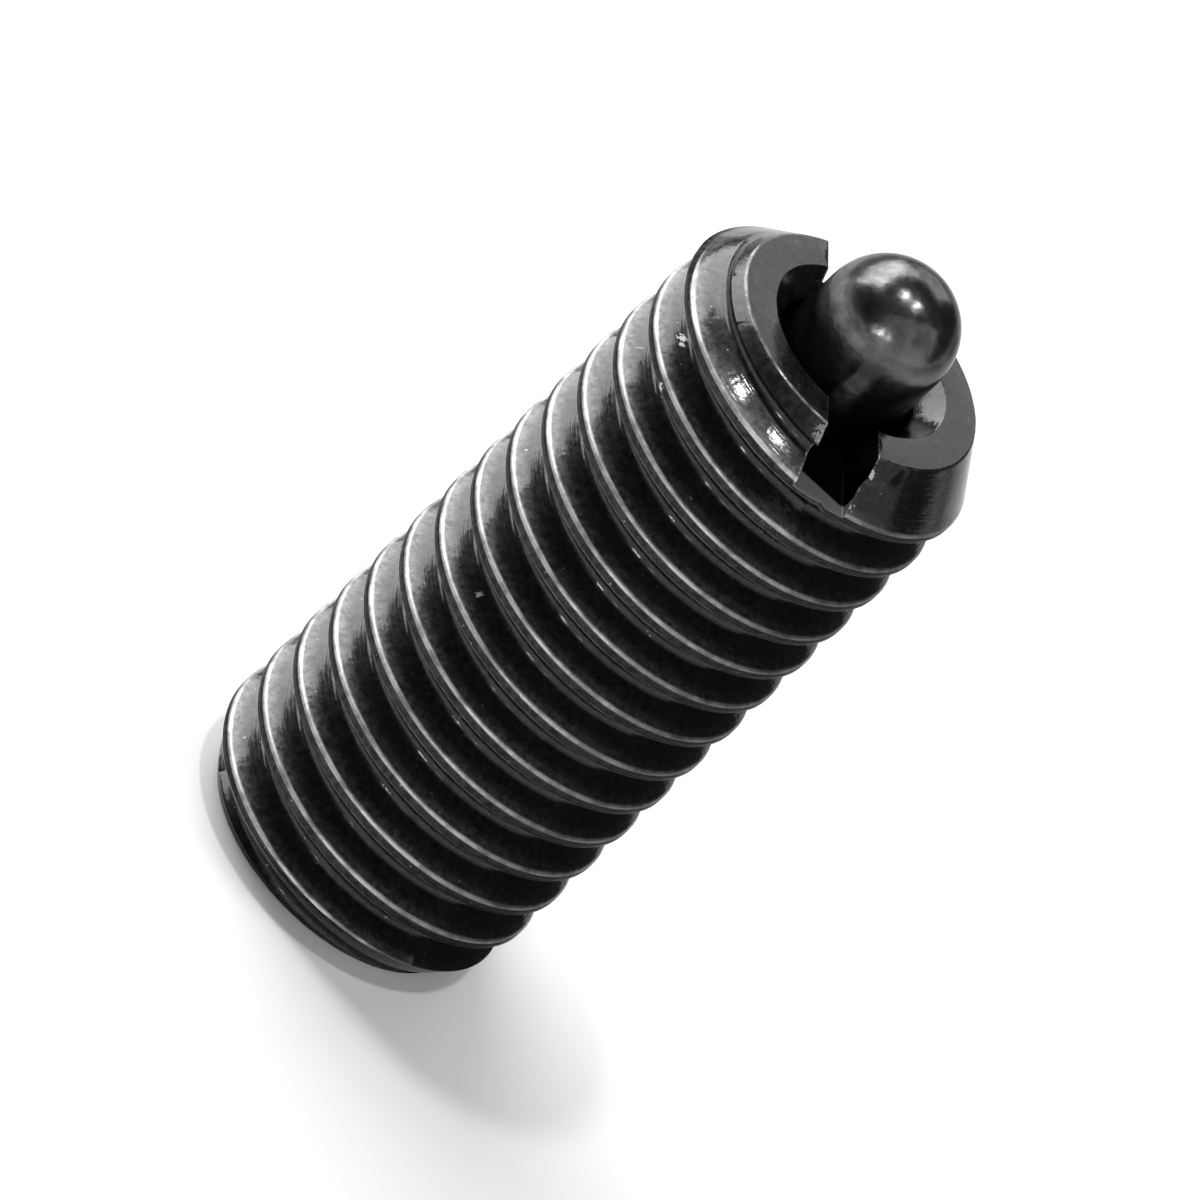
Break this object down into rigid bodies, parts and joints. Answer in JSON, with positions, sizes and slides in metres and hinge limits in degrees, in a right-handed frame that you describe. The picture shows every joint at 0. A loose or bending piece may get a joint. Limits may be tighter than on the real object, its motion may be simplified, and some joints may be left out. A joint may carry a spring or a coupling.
{
  "type": "spring plunger",
  "caption": "Headless threaded sleeve with a driver slot across its nose and a sprung, round-nosed pin that presses into a detent to locate or index another part.",
  "frame": {"origin": "Centre of the sleeve's flat rear end face.", "axes": "+Z runs along the sleeve's axis out of the nose, the way the pin points. The driver slot runs along Y. The plunger stands on its rear end."},
  "size_m": [0.0098, 0.0098, 0.025],
  "materials": {
    "black_sleeve": "satin",
    "dark_pin": "satin",
    "spring_wire": "satin",
    "plug_steel": "satin"
  },
  "bodies": {
    "sleeve": {"threaded_body": "black_sleeve", "end_plug": "plug_steel", "spring": "spring_wire"},
    "plunger": {"plunger_pin": "dark_pin"}
  },
  "joints": [
    {"name": "plunger_slide", "type": "slide", "parent": "sleeve", "child": "plunger", "axis": [0, 0, -1], "range_m": [0, 0.003], "stiffness_N_per_m": 4300, "deforming": ["spring"]}
  ]
}
